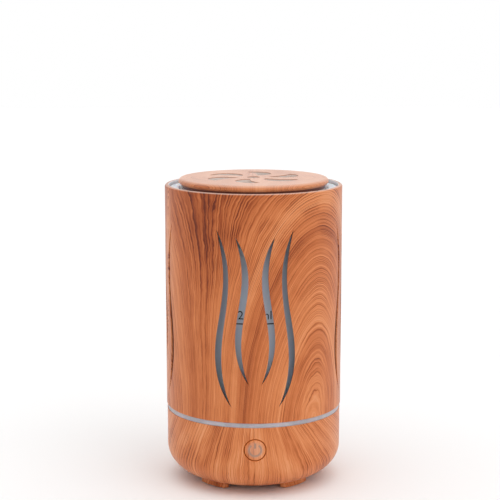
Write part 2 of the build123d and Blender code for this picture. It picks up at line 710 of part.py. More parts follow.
# ---------------------------------------------------------------- button
def power_button():
    """Round button flush with the bowl, with a flange behind the wall and a push stem."""
    flange_r = 7.2
    flange_back_y = -43.7
    face = rod_y(BUTTON_R, -50, BUTTON_BACK_Y, 0, BUTTON_Z) & rod(BASE_R + 0.05, 10, 45)
    flange = rod_y(flange_r, BUTTON_BACK_Y - 0.1, flange_back_y, 0, BUTTON_Z)
    stem = rod_y(BUTTON_STEM_R, flange_back_y - 0.1, STEM_END_Y, 0, BUTTON_Z)
    button = face + flange + stem
    rim = button.edges().sort_by(Axis.Y)[0]
    return fillet(rim, 0.25)


def switch_plunger():
    """Plunger of the push switch, touching the button's stem."""
    return rod_y(BUTTON_STEM_R, STEM_END_Y, -38.3, 0, BUTTON_Z)


# ---------------------------------------------------------------- lid
def lid_screw_places():
    """Places of the lid's three screws."""
    return PolarLocations(LID_SCREW_R, 3, 90)


def leaf_cutter():
    """One curved leaf of the pinwheel, wide in the belly and pointed at both ends."""
    inner_tip = (0.20 * LID_R, 0.07 * LID_R)
    outer_tip = (0.50 * LID_R, 0.38 * LID_R)
    belly = ThreePointArc(inner_tip, (0.45 * LID_R, -0.02 * LID_R), outer_tip)
    back = ThreePointArc(inner_tip, (0.37 * LID_R, 0.17 * LID_R), outer_tip)
    return extrude(make_face([belly, back]), 8)


def lid_cap():
    """Lid disc with a rounded edge, an undercut skirt, six leaf openings and the mist hole."""
    boss_r = 2.4
    pilot_r = 0.98
    mist_r = 3.5
    flat_r = LID_R - 1.8
    plate_z = LID_TOP_Z - LID_PLATE_T
    inner_r = LID_SKIRT_R - 2.2
    top = Line((0, LID_TOP_Z), (flat_r, LID_TOP_Z))
    edge_h = LID_TOP_Z - LID_WIDEST_Z
    edge = EllipticalCenterArc((flat_r, LID_WIDEST_Z), LID_R - flat_r, edge_h, start_angle=0, arc_size=90)
    under = Polyline(
        edge @ 0, (LID_R - 1.0, LID_WIDEST_Z - 1.2), (LID_SKIRT_R, LID_WIDEST_Z - 1.6),
        (LID_SKIRT_R, LID_LOW_Z), (inner_r, LID_LOW_Z), (inner_r, plate_z), (0, plate_z), (0, LID_TOP_Z),
    )
    cap = revolve(Plane.XZ * make_face([top, edge, under]), Axis.Z)
    for place in lid_screw_places():
        boss = Cylinder(boss_r, plate_z - LID_LOW_Z + 0.2, align=UPRIGHT)
        cap = cap + place * (Pos(0, 0, LID_LOW_Z) * boss)
        cap = cap - place * (Pos(0, 0, LID_LOW_Z - 1) * Cylinder(pilot_r, 4.4, align=UPRIGHT))
    for turn in range(6):
        cap = cap - Rot(0, 0, turn * 60) * Pos(0, 0, LID_LOW_Z) * leaf_cutter()
    return cap - rod(mist_r, LID_LOW_Z, LID_TOP_Z + 1)


def lid_insert():
    """White plug: rim plate, dished middle and a skirt with a groove for the seal."""
    plate_z = LID_LOW_Z - PLUG_PLATE_T
    dish_z = plate_z - 3.2
    dish_top_z = dish_z + 1.6
    dish_r = 32.4
    dish_in_r = 31.0
    skirt_in_r = PLUG_R - 1.6
    groove_r = PLUG_R - 0.7
    lip_r = PLUG_R + 0.5
    plug = turned(
        (PLUG_BORE_R, dish_z), (dish_r, dish_z), (dish_r, plate_z), (skirt_in_r, plate_z),
        (skirt_in_r, PLUG_LOW_Z), (PLUG_R, PLUG_LOW_Z), (PLUG_R, GROOVE_LOW_Z), (groove_r, GROOVE_LOW_Z),
        (groove_r, GROOVE_TOP_Z), (PLUG_R, GROOVE_TOP_Z), (PLUG_R, plate_z), (lip_r, plate_z),
        (lip_r, LID_LOW_Z), (dish_in_r, LID_LOW_Z), (dish_in_r, dish_top_z), (PLUG_BORE_R, dish_top_z),
    )
    for place in lid_screw_places():
        plug = plug - place * (Pos(0, 0, plate_z - 1) * Cylinder(1.15, 4, align=UPRIGHT))
    return plug


def lid_seal():
    """Silicone ring in the plug's groove, with two lips."""
    low_z = GROOVE_LOW_Z + 0.1
    top_z = GROOVE_TOP_Z - 0.1
    groove_r = PLUG_R - 0.7
    edge_r = PLUG_R + 0.3
    lip_r = PLUG_R + 0.6
    waist_r = PLUG_R + 0.1
    return turned(
        (groove_r, low_z), (edge_r, low_z), (lip_r, low_z + 0.6), (waist_r, low_z + 1.1),
        (waist_r, top_z - 1.1), (lip_r, top_z - 0.6), (edge_r, top_z), (groove_r, top_z),
    )


def mist_nozzle():
    """Short tube through the plug with a collar that rests on it."""
    low_z = PLUG_LOW_Z - 0.4
    top_z = LID_LOW_Z + 2.0
    fit_r = PLUG_BORE_R - SEAT_GAP
    neck_r = 8.9
    collar_r = 11.0
    collar_z = LID_LOW_Z - 3.3
    return turned(
        (NOZZLE_IN_R, low_z), (fit_r - 0.35, low_z), (fit_r, low_z + 1), (fit_r, collar_z),
        (collar_r, collar_z), (collar_r, collar_z + 0.8), (neck_r, collar_z + 1.4), (neck_r, top_z),
        (NOZZLE_IN_R, top_z),
    )


def lid_screws():
    """Three screws from below, through the plug into the cap."""
    one = Rot(180, 0, 0) * screw(1.9, 1.2, 0.95, 4.4)
    return [place * (Pos(0, 0, LID_LOW_Z - PLUG_PLATE_T - SEAT_GAP) * one) for place in lid_screw_places()]


# ---------------------------------------------------------------- inner leads
PLUG_X = -8.45             # where a lead leaves its plug on the board
PLUG_Z = 18.5
LEADS = {
    "fan_lead": ((0.95, 6.0, 8.5), (-3.5, 6.0, 8.5), (-3.5, 9.0, PLUG_Z), (PLUG_X, 9.0, PLUG_Z)),
    "transducer_lead": (
        (WELL_X, 0, 37.7), (WELL_X, 0, 31.0), (-4.5, 0, 26.0), (-3.5, 0, PLUG_Z), (PLUG_X, 0, PLUG_Z),
    ),
    "led_lead": (
        (-24.6, -24.6, 36.95), (-24.6, -24.6, 30.5), (-16.0, -28.0, 28.5), (-4.0, -25.0, 26.0),
        (-3.0, -9.0, PLUG_Z), (PLUG_X, -9.0, PLUG_Z),
    ),
    "dc_lead": (
        (-2.2, 31.45, JACK_Z), (-2.2, 27.5, JACK_Z), (-10.0, 27.0, 23.5), (-17.0, 25.5, 21.5),
        (-17.0, 25.5, BOARD_TOP_Z + 0.05),
    ),
    "switch_lead": (
        (-5.0, -34.75, 24.0), (-5.0, -31.5, 24.0), (-12.0, -30.6, 22.0), (-19.0, -27.0, 20.5),
        (-19.0, -27.0, BOARD_TOP_Z + 0.05),
    ),
}
LEAD_R = 0.8


# ---------------------------------------------------------------- write every node
def main():
    os.makedirs("parts", exist_ok=True)
    save("base_shell", base_shell())
    for number, angle in enumerate(FOOT_ANGLES, 1):
        save(f"foot_pad_{number}", foot_pad(angle))
    save("base_screws", Compound(children=base_screws()))
    save("light_ring", light_ring())
    save("sleeve", sleeve())
    save("tank", tank())
    save("tank_floor", tank_floor())
    save("air_chimney", air_chimney())
    save("transducer_disc", transducer_disc())
    save("transducer_seal", Pos(WELL_X, 0, 0) * transducer_seal())
    save("transducer_clamp", transducer_clamp())
    save("clamp_screws", Compound(children=clamp_screws()))
    save("fan_frame", fan_frame())
    save("fan_bush", tube(BUSH_R, BUSH_BORE_R, BUSH_LOW_Z, BUSH_TOP_Z, FAN_X))
    save("fan_stator", fan_stator())
    save("fan_rotor", fan_rotor())
    save("rotor_magnet", rotor_magnet())
    save("fan_shaft", rod(SHAFT_R, FAN_LOW_Z + 1.2, 13.8, FAN_X))
    save("fan_screws", Compound(children=fan_screws()))
    save("air_duct", air_duct())
    save("main_board", main_board())
    save("board_screws", Compound(children=board_screws()))
    save("heat_sink", heat_sink())
    save("power_transistor", power_transistor())
    save("inductor", inductor())
    save("capacitor_1", capacitor(radius=4.0, height=11.5, x=-25.0, y=-17.0))
    save("capacitor_2", capacitor(radius=3.15, height=11.0, x=-17.4, y=-11.5))
    save("controller_chip", controller_chip())
    for number, y in enumerate((9.0, 0.0, -9.0), 1):
        save(f"connector_{number}", connector(y))
    save("led_board", led_board())
    for number in range(LED_COUNT):
        save(f"led_{number + 1}", led(number * 360 / LED_COUNT))
    save("dc_jack", dc_jack())
    save("dc_jack_pin", dc_jack_pin())
    save("dc_jack_nut", dc_jack_nut())
    save("switch_board", switch_board())
    save("switch_screws", Compound(children=switch_screws()))
    save("tact_switch", tact_switch())
    save("power_button", power_button())
    save("switch_plunger", switch_plunger())
    save("lid_cap", lid_cap())
    save("lid_insert", lid_insert())
    save("lid_seal", lid_seal())
    save("mist_nozzle", mist_nozzle())
    save("lid_screws", Compound(children=lid_screws()))
    for node, points in LEADS.items():
        save(node, lead(points, LEAD_R))


main()
for name, shape in ALL_NODES.items():
    print(name, round(shape.volume, 1))
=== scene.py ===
import json
import math

import bmesh
import bpy
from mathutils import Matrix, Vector


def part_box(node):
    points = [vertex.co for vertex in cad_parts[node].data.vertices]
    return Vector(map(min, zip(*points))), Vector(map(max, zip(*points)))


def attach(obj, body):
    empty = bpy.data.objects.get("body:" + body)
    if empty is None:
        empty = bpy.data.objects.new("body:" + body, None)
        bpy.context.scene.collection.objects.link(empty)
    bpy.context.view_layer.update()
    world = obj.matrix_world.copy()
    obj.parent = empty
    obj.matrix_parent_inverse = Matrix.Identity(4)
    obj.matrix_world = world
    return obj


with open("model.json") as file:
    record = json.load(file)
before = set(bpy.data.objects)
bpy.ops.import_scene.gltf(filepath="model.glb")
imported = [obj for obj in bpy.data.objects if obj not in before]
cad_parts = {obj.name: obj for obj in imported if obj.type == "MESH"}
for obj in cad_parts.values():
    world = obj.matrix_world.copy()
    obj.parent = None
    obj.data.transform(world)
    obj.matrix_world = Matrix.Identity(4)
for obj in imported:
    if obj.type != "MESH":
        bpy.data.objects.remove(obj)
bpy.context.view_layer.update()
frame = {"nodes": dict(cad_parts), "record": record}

# ---------------------------------------------------------------- places, in millimetres
MM = 0.001
nodes = frame["nodes"]
sleeve_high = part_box("sleeve")[1] / MM
base_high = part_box("base_shell")[1] / MM
lid_low, lid_high = (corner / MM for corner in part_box("lid_cap"))
button_low, button_high = (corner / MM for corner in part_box("power_button"))

SLEEVE_R = sleeve_high.y
RIM_Z = sleeve_high.z
BUTTON_Z = (button_low.z + button_high.z) / 2
BUTTON_FACE_R = -button_low.y
TANK_WALL_R = 42.5         # outside of the tank's wall
MARK_Z = 94.2              # fill mark on the front of the tank


# ---------------------------------------------------------------- shader graph helper
class Graph:
    """A material whose nodes are added by short calls."""

    def __init__(self, name):
        self.material = bpy.data.materials.new(name)
        self.material.use_nodes = True
        self.nodes = self.material.node_tree.nodes
        self.links = self.material.node_tree.links
        self.nodes.clear()
        output = self.nodes.new("ShaderNodeOutputMaterial")
        self.shader = self.nodes.new("ShaderNodeBsdfPrincipled")
        self.links.new(self.shader.outputs["BSDF"], output.inputs["Surface"])

    def put(self, socket, value):
        """Link a socket to another, or set its value."""
        if isinstance(value, bpy.types.NodeSocket):
            self.links.new(value, socket)
        else:
            socket.default_value = value

    def math(self, operation, a, b=0.0, c=0.0):
        node = self.nodes.new("ShaderNodeMath")
        node.operation = operation
        for socket, value in zip(node.inputs, (a, b, c)):
            self.put(socket, value)
        return node.outputs[0]

    def position(self):
        """Object coordinates in millimetres, as a vector and as x, y and z."""
        place = self.nodes.new("ShaderNodeTexCoord").outputs["Object"]
        scaled = self.nodes.new("ShaderNodeVectorMath")
        scaled.operation = "SCALE"
        self.put(scaled.inputs[0], place)
        self.put(scaled.inputs["Scale"], 1 / MM)
        split = self.nodes.new("ShaderNodeSeparateXYZ")
        self.put(split.inputs[0], scaled.outputs[0])
        return scaled.outputs[0], split.outputs[0], split.outputs[1], split.outputs[2]

    def vector(self, x, y, z):
        node = self.nodes.new("ShaderNodeCombineXYZ")
        for socket, value in zip(node.inputs, (x, y, z)):
            self.put(socket, value)
        return node.outputs[0]

    def noise(self, vector, scale, detail=2.0, rough=0.5):
        """Soft noise in space."""
        node = self.nodes.new("ShaderNodeTexNoise")
        self.put(node.inputs["Vector"], vector)
        node.inputs["Scale"].default_value = scale
        node.inputs["Detail"].default_value = detail
        node.inputs["Roughness"].default_value = rough
        return node.outputs[0]

    def line_noise(self, value, scale, detail=2.0, rough=0.5):
        """Noise along one number."""
        node = self.nodes.new("ShaderNodeTexNoise")
        node.noise_dimensions = "1D"
        self.put(node.inputs["W"], value)
        node.inputs["Scale"].default_value = scale
        node.inputs["Detail"].default_value = detail
        node.inputs["Roughness"].default_value = rough
        return node.outputs[0]

    def fit(self, value, low, high, to_low=0.0, to_high=1.0, smooth=True):
        """Map low..high to to_low..to_high, clamped."""
        node = self.nodes.new("ShaderNodeMapRange")
        node.interpolation_type = "SMOOTHSTEP" if smooth else "LINEAR"
        self.put(node.inputs["Value"], value)
        names = ("From Min", "From Max", "To Min", "To Max")
        for name, limit in zip(names, (low, high, to_low, to_high)):
            self.put(node.inputs[name], limit)
        return node.outputs[0]

    def mix(self, share, a, b):
        """Colour a where share is 0, and b where it is 1."""
        node = self.nodes.new("ShaderNodeMix")
        node.data_type = "RGBA"
        factor, colour_a, colour_b = node.inputs[0], node.inputs[6], node.inputs[7]
        for socket, value in ((factor, share), (colour_a, a), (colour_b, b)):
            self.put(socket, value)
        return node.outputs[2]

    def ramp(self, value, *stops):
        """Colour ramp from (place, colour) stops."""
        node = self.nodes.new("ShaderNodeValToRGB")
        elements = node.color_ramp.elements
        elements[0].position, elements[0].color = stops[0]
        elements[1].position, elements[1].color = stops[-1]
        for place, colour in stops[1:-1]:
            elements.new(place).color = colour
        self.put(node.inputs[0], value)
        return node.outputs[0]

    def bump(self, height, strength, distance):
        node = self.nodes.new("ShaderNodeBump")
        node.inputs["Strength"].default_value = strength
        node.inputs["Distance"].default_value = distance
        self.put(node.inputs["Height"], height)
        self.put(self.shader.inputs["Normal"], node.outputs[0])

    def set(self, **values):
        """Set or link the shader's own sockets by name, with _ for a space."""
        for name, value in values.items():
            self.put(self.shader.inputs[name.replace("_", " ")], value)


def srgb(red, green, blue):
    """Linear colour from 0-255 screen values."""
    def channel(value):
        value /= 255.0
        return value / 12.92 if value <= 0.04045 else ((value + 0.055) / 1.055) ** 2.4
    return (channel(red), channel(green), channel(blue), 1.0)


# ---------------------------------------------------------------- wood print
WOOD_DARK = srgb(104, 36, 6)
WOOD_LOW = srgb(156, 72, 26)
WOOD_MID = srgb(196, 108, 56)
WOOD_HIGH = srgb(218, 134, 80)
WOOD_PALE = srgb(232, 160, 112)
# painted sheen and highlight: pale tone for the rim's highlight and the lid top's sheen, standing in for
# the tent's reflection
SHEEN_PALE = srgb(226, 200, 184)
# painted light: pale colour standing in for light on the shaded walls of the lid's leaf openings and on the
# plug's top beneath them
LEAF_LIGHT_PAINT = srgb(250, 234, 224)
# painted shade: dark brown for the slots' walls, which stand in shadow
SLOT_WALL_SHADE = srgb(70, 32, 14)
WHITE = srgb(226, 227, 230)
PRINT_IN_R = 46.05         # the print wraps the slots' walls down to this radius

WANDER = 1.2               # slow bend of the growth lines, in rings
RIPPLE = 0.35              # quick bend of the growth lines, in rings
BAND_SHARE = 0.34          # how much bands of rings change the tone
STREAK_SHARE = 0.36        # how much single rings change it
FIBRE_SHARE = 0.85         # how much short fibres change it
LINE_SHARE = 0.50          # how dark the line at each ring's end is
FINE_SHARE = 0.75          # how dark the finer lines between are
FINE_STEP = 2.3            # finer lines to one ring
FIRST_RING = 60.0          # ring number on the middle line of the base and the lid
CRISP_LIFT = 0.09          # what the tone is raised by where the lines are crisper


def growth_lines(graph, rings, share):
    """Thin dark lines at the end of each ring, some strong and some faint."""
    step = graph.math("FRACT", rings)
    line = graph.math("MULTIPLY", graph.math("POWER", step, 4.0), graph.fit(step, 0.9, 1.0, 1.0, 0.0))
    strength = graph.line_noise(graph.math("FLOOR", rings), 3.7, 0.0)
    return graph.math("MULTIPLY", graph.math("MULTIPLY", line, graph.fit(strength, 0.2, 0.8)), share)


def swing(graph, noise):
    """Noise as a swing about zero."""
    return graph.math("SUBTRACT", noise, 0.5)


def wood_colour(graph, rings, along, place, broad, crisp=1.0):
    """Colour and tone of printed grain.

    rings numbers the growth lines, along is the place along the grain, broad is the tone
    before any detail, and crisp makes the lines stronger where it is over 1.
    """
    wander = swing(graph, graph.noise(place, 0.045, 1.0))
    ripple = swing(graph, graph.noise(place, 0.3, 1.0))
    rings = graph.math("MULTIPLY_ADD", wander, WANDER, rings)
    rings = graph.math("MULTIPLY_ADD", ripple, RIPPLE, rings)
    patch = graph.fit(graph.noise(place, 0.07, 2.0), 0.3, 0.7, 0.35, 1.25)
    patch = graph.math("MULTIPLY", patch, crisp)
    broad = graph.math("MULTIPLY_ADD", graph.math("SUBTRACT", crisp, 1.0), CRISP_LIFT, broad)
    bands = swing(graph, graph.line_noise(rings, 0.45, 2.0))
    streaks = swing(graph, graph.line_noise(rings, 1.6, 2.0))
    across = graph.math("MULTIPLY", rings, 4.0)
    fibre_place = graph.vector(across, graph.math("MULTIPLY", along, 0.06), 0.0)
    fibre = swing(graph, graph.noise(fibre_place, 1.0, 4.0, 0.7))
    tone = graph.math("MULTIPLY_ADD", bands, BAND_SHARE, graph.math("ADD", broad, 0.13))
    tone = graph.math("MULTIPLY_ADD", streaks, STREAK_SHARE, tone)
    tone = graph.math("MULTIPLY_ADD", fibre, FIBRE_SHARE, tone)
    for step, share in ((1.0, LINE_SHARE), (FINE_STEP, FINE_SHARE)):
        numbered = graph.math("MULTIPLY", rings, step)
        lines = growth_lines(graph, numbered, graph.math("MULTIPLY", patch, share))
        tone = graph.math("SUBTRACT", tone, lines)
    stops = ((0.0, WOOD_DARK), (0.25, WOOD_LOW), (0.5, WOOD_MID), (0.74, WOOD_HIGH), (1.0, WOOD_PALE))
    return graph.ramp(tone, *stops), tone


def tone_ramp(graph, share, span, stops):
    """Tone along share (0 to 1) from (place, tone) stops, whose places run over span."""
    low, high = span
    greys = (((place - low) / (high - low), (tone, tone, tone, 1.0)) for place, tone in stops)
    return graph.ramp(share, *greys)


def round_place(graph, x, y):
    """Angle from the front about the axis, positive to the right, and the radius."""
    angle = graph.math("ARCTAN2", x, graph.math("MULTIPLY", y, -1.0))
    square = graph.math("ADD", graph.math("MULTIPLY", x, x), graph.math("MULTIPLY", y, y))
    return angle, graph.math("SQRT", square)


def finish_wood(graph, colour, tone, gloss=0.3):
    """Satin varnish over the print, with the grain just felt."""
    sheen = graph.fit(tone, 0.2, 0.8, 0.40, 0.33)
    graph.set(Base_Color=colour, Roughness=sheen, IOR=1.5, Specular_IOR_Level=gloss)
    graph.bump(tone, 0.10, 0.0002)
    return graph.material


ARCH_ANGLE = math.radians(38.6)     # middle of the arches at the foot of the sleeve
ARCH_LEAN = math.radians(0.055)     # how far it moves to the right for each millimetre up
ARCH_LOW_Z = 42.3
ARCH_HIGH_Z = 166.0        # top of the widest arch, which the rim cuts off
ARCH_HALF = 1.034          # its half width at the foot, in radians
FAN_EDGE = 1.228           # where the grain is upright again, in half widths
FOLD = 2.1                 # where the back's grain begins, in radians from the arches
BROAD_SPAN = 2.2           # growth numbers that the broad tones cover
FAN_POWER = 2.2            # roundness of the widest arch's shoulders
ARCH_RINGS = 46.8          # growth lines inside the widest arch
SHOULDER_RINGS = 11.0      # growth lines between it and the upright grain
SIDE_RINGS = 30.0          # growth lines to one growth number in the upright grain
SLOT_TOP = 150.0           # the slots end below this height


def sleeve_field(graph, place, angle, z):
    """Growth number of the sleeve: 0 in the arches' middle, 1 on the widest arch."""
    middle = graph.math("MULTIPLY_ADD", z, ARCH_LEAN, ARCH_ANGLE)
    turn = graph.math("WRAP", graph.math("SUBTRACT", angle, middle), math.pi, -math.pi)
    bend = graph.math("SUBTRACT", graph.noise(place, 0.022, 1.0), 0.5)
    turn = graph.math("MULTIPLY_ADD", bend, 0.09, turn)
    turn = graph.math("SQRT", graph.math("MULTIPLY_ADD", turn, turn, 0.006))
    back = graph.math("MULTIPLY", graph.math("SUBTRACT", math.pi, turn), FOLD / (math.pi - FOLD))
    fold = graph.math("SMOOTH_MIN", turn, back, 0.5)
    rise = graph.math("SUBTRACT", z, ARCH_LOW_Z)
    lean = graph.math("MULTIPLY", rise, graph.fit(fold, 1.26, 1.95, 0.0, -0.0045, False))
    side = graph.math("DIVIDE", graph.math("ADD", fold, lean), ARCH_HALF)
    arch = graph.math("MAXIMUM", graph.math("DIVIDE", rise, ARCH_HIGH_Z - ARCH_LOW_Z), 0.0)
    plain = graph.math("ADD", graph.math("MULTIPLY", side, side), graph.math("MULTIPLY", arch, arch))
    power = graph.fit(graph.math("SQRT", plain), 0.586, 0.964, 1.75, FAN_POWER, False)
    total = graph.math("ADD", graph.math("POWER", side, power), graph.math("POWER", arch, power))
    inside = graph.math("MINIMUM", graph.math("POWER", total, graph.math("DIVIDE", 1.0, power)), 1.0)
    left = graph.math("MAXIMUM", graph.math("SUBTRACT", 1.0, graph.math("POWER", arch, FAN_POWER)), 0.0)
    widest = graph.math("POWER", left, 1 / FAN_POWER)
    fanned = graph.fit(side, widest, FAN_EDGE, 0.0, FAN_EDGE - 1.0, False)
    beyond = graph.math("MAXIMUM", graph.math("SUBTRACT", side, FAN_EDGE), 0.0)
    return graph.math("ADD", graph.math("ADD", inside, fanned), beyond)


def sleeve_broad(graph, growth, z):
    """Broad light and dark growth of the sleeve, darker high up beside the arches."""
    stops = (
        (0.0, 0.64), (0.17, 0.62), (0.26, 0.42), (0.36, 0.42), (0.43, 0.64), (0.57, 0.56), (0.64, 0.46),
        (0.72, 0.48), (0.81, 0.30), (0.88, 0.40), (0.93, 0.66), (0.965, 0.64), (1.01, 0.44), (1.07, 0.58),
        (1.23, 0.48), (1.41, 0.36), (1.55, 0.56), (1.93, 0.50),
    )
    share = graph.math("DIVIDE", growth, BROAD_SPAN)
    broad = tone_ramp(graph, share, (0.0, BROAD_SPAN), stops)
    beside = graph.math("MULTIPLY", graph.fit(growth, 0.99, 1.13), graph.fit(growth, 1.29, 1.47, 1.0, 0.0))
    high = graph.math("MULTIPLY", beside, graph.fit(z, 90.0, 152.0))
    return graph.math("MULTIPLY_ADD", high, -0.30, broad)


def sleeve_wood():
    """Cathedral grain outside, white plastic inside."""
    graph = Graph("wood_sleeve")
    place, x, y, z = graph.position()
    angle, radius = round_place(graph, x, y)
    growth = sleeve_field(graph, place, angle, z)
    inside = graph.math("POWER", graph.math("MINIMUM", growth, 1.0), 1.9)
    shoulder = graph.fit(growth, 1.0, FAN_EDGE, 0.0, SHOULDER_RINGS, False)
    beyond = graph.math("MAXIMUM", graph.math("SUBTRACT", growth, FAN_EDGE), 0.0)
    rings = graph.math("MULTIPLY_ADD", inside, ARCH_RINGS, shoulder)
    rings = graph.math("MULTIPLY_ADD", beyond, SIDE_RINGS, rings)
    crisp = graph.math("MULTIPLY", graph.fit(z, 95.0, 145.0), graph.fit(growth, 0.66, 0.9))
    crisp = graph.math("MULTIPLY_ADD", crisp, 0.8, 1.0)
    colour, tone = wood_colour(graph, rings, z, place, sleeve_broad(graph, growth, z), crisp)
    # partly a worn, thinner print and partly a painted highlight: the rim's rounded top edge is paled
    # towards the pale sheen colour
    wear_and_highlight = graph.fit(z, RIM_Z - 0.6, RIM_Z - 0.1, 0.0, 0.5)
    colour = graph.mix(wear_and_highlight, colour, SHEEN_PALE)
    # painted shade: below the slot tops, the slots' walls go dark brown for the shadow in them
    skin = graph.fit(radius, SLEEVE_R - 1.0, SLEEVE_R - 0.25)
    skin = graph.math("MAXIMUM", skin, graph.fit(z, SLOT_TOP, SLOT_TOP + 2.0))
    colour = graph.mix(skin, SLOT_WALL_SHADE, colour)
    ragged = graph.math("MULTIPLY", graph.noise(place, 1.5, 2.0), 0.12)
    outside = graph.fit(graph.math("ADD", radius, ragged), PRINT_IN_R, PRINT_IN_R + 0.1)
    return finish_wood(graph, graph.mix(outside, WHITE, colour), tone)


GAP_EDGE = srgb(214, 110, 36)
GAP_R = 5.8                # middle of the gap round the button
GAP_HALF = 0.2
BUTTON_BLUSH = srgb(206, 166, 148)
FAN_SPAN = 1.9             # widest place of the base's fan, in radians at its top edge
FAN_RINGS = 26.0           # growth lines to a radian there


def base_broad(graph, fan, z):
    """Broad tones of the base: dark strokes to the left of the button, pale round it and to the right."""
    stops = (
        (-1.50, 0.50), (-0.90, 0.56), (-0.66, 0.50), (-0.56, 0.60), (-0.48, 0.36), (-0.38, 0.42),
        (-0.32, 0.60), (-0.26, 0.42), (-0.18, 0.62), (0.02, 0.66), (0.12, 0.58), (0.24, 0.66),
        (0.32, 0.52), (0.42, 0.64), (0.56, 0.54), (0.72, 0.68), (1.0, 0.58), (1.5, 0.54),
    )
    share = graph.fit(fan, -FAN_SPAN, FAN_SPAN, smooth=False)
    broad = tone_ramp(graph, share, (-FAN_SPAN, FAN_SPAN), stops)
    cloud = graph.noise(graph.vector(fan, graph.math("MULTIPLY", z, 0.012), 0.0), 4.0, 1.0)
    return graph.math("ADD", broad, graph.fit(cloud, 0.3, 0.7, -0.11, 0.09))


def base_wood():
    """Grain that fans out towards the bottom of the bowl."""
    graph = Graph("wood_base")
    place, x, y, z = graph.position()
    angle = round_place(graph, x, y)[0]
    drop = graph.math("SUBTRACT", base_high.z, z)
    spread = graph.math("MULTIPLY_ADD", drop, graph.fit(angle, -0.9, 0.9, 0.014, 0.030), 1.0)
    side = graph.math("ABSOLUTE", graph.math("DIVIDE", angle, spread))
    back = graph.math("MAXIMUM", graph.math("SUBTRACT", math.pi, graph.math("ABSOLUTE", angle)), 0.0)
    fold = graph.math("SMOOTH_MIN", side, graph.math("MULTIPLY", back, 2.0), 0.3)
    fan = graph.math("MULTIPLY", fold, graph.math("SIGN", angle))
    rings = graph.math("MULTIPLY_ADD", fan, FAN_RINGS, FIRST_RING)
    crisp = graph.fit(fan, -0.4, 0.1, 1.9, 1.0)
    colour, tone = wood_colour(graph, rings, z, place, base_broad(graph, fan, z), crisp)
    rise = graph.math("SUBTRACT", z, BUTTON_Z)
    reach = graph.math("SQRT", graph.math("MULTIPLY_ADD", x, x, graph.math("MULTIPLY", rise, rise)))
    front = graph.fit(y, -40.0, -36.0, 1.0, 0.0)
    wear_and_highlight = graph.math("MULTIPLY", graph.fit(reach, 3.4, 5.2, 0.32, 0.0), front)
    colour = graph.mix(wear_and_highlight, colour, BUTTON_BLUSH)
    off = graph.math("ABSOLUTE", graph.math("SUBTRACT", reach, GAP_R))
    edge = graph.math("MULTIPLY", graph.fit(off, GAP_HALF, GAP_HALF + 0.3, 1.0, 0.0), front)
    return finish_wood(graph, graph.mix(edge, colour, GAP_EDGE), tone)


LID_RINGS = 0.42           # growth lines to a millimetre
LEAF_REACH = 30.0          # the leaf openings end inside this radius


def lid_wood():
    """Grain that runs from front to back over the lid."""
    graph = Graph("wood_lid")
    place, x, y, z = graph.position()
    bow = graph.math("MULTIPLY_ADD", graph.math("MULTIPLY", y, y), 0.0016, 1.0)
    rings = graph.math("MULTIPLY_ADD", graph.math("MULTIPLY", x, bow), LID_RINGS, FIRST_RING)
    cloud = graph.noise(graph.vector(x, graph.math("MULTIPLY", y, 0.3), 0.0), 0.05, 2.0)
    broad = graph.fit(cloud, 0.3, 0.7, 0.46, 0.70)
    colour, tone = wood_colour(graph, rings, y, place, broad)
    radius = round_place(graph, x, y)[1]
    top = lid_high.z
    # painted sheen: the lid's top face is paled towards the pale sheen colour for the tent's reflection at
    # a grazing view
    flat = graph.fit(z, top - 1.6, top)
    colour = graph.mix(graph.math("MULTIPLY", flat, 0.42), colour, SHEEN_PALE)
    # painted light: the leaf openings' walls, below the top's edge, are made pale against the shade inside
    # them
    central = graph.fit(radius, LEAF_REACH, LEAF_REACH + 1, 1.0, 0.0)
    sunk = graph.fit(z, top - 0.5, top - 0.3, 1.0, 0.0)
    colour = graph.mix(graph.math("MULTIPLY", sunk, central), colour, LEAF_LIGHT_PAINT)
    # painted shade: below z 162.6 and outside the leaf openings, the lid goes dark brown for the shade
    # under its edge
    under = graph.fit(z, 162.6, 163.6)
    shaded = graph.math("MAXIMUM", under, central)
    colour = graph.mix(shaded, WOOD_DARK, colour)
    return finish_wood(graph, colour, tone, 0.5)


# ---------------------------------------------------------------- plastics, rubber and metal
def moulded(name, colour, rough=0.45, grain=0.08, spread=0.06, **shader):
    """Moulded plastic or rubber: faint mottling and a fine spark-eroded texture."""
    graph = Graph(name)
    place = graph.position()[0]
    mottle = graph.noise(place, 0.12, 3.0)
    speck = graph.noise(place, 3.5, 2.0)
    darker = tuple(c * (1 - spread * 2) for c in colour[:3]) + (1.0,)
    lighter = tuple(min(1.0, c * (1 + spread)) for c in colour[:3]) + (1.0,)
    tint = graph.mix(graph.fit(mottle, 0.3, 0.7), darker, lighter)
    shine = graph.math("ADD", rough - 0.05, graph.math("MULTIPLY", speck, 0.10))
    graph.set(Base_Color=tint, Roughness=shine, **shader)
    graph.bump(speck, grain, 0.0001)
    return graph.material


def metal(name, colour, rough=0.3, brushed=(1.0, 1.0, 1.0)):
    """Metal with fine tool marks stretched along one axis."""
    graph = Graph(name)
    place, x, y, z = graph.position()
    stretched = graph.vector(*(graph.math("MULTIPLY", axis, k) for axis, k in zip((x, y, z), brushed)))
    marks = graph.noise(stretched, 2.0, 4.0, 0.6)
    tarnish = graph.noise(place, 0.3, 2.0)
    darker = tuple(c * 0.78 for c in colour[:3]) + (1.0,)
    tint = graph.mix(graph.fit(tarnish, 0.25, 0.75), darker, colour)
    shine = graph.fit(marks, 0.3, 0.7, rough - 0.08, rough + 0.12)
    graph.set(Base_Color=tint, Roughness=shine, Metallic=1.0)
    graph.bump(marks, 0.15, 0.00005)
    return graph.material


TANK_GLOW = 0.05           # painted glow on the front of the tank, standing in for light that the frosted wall passes on
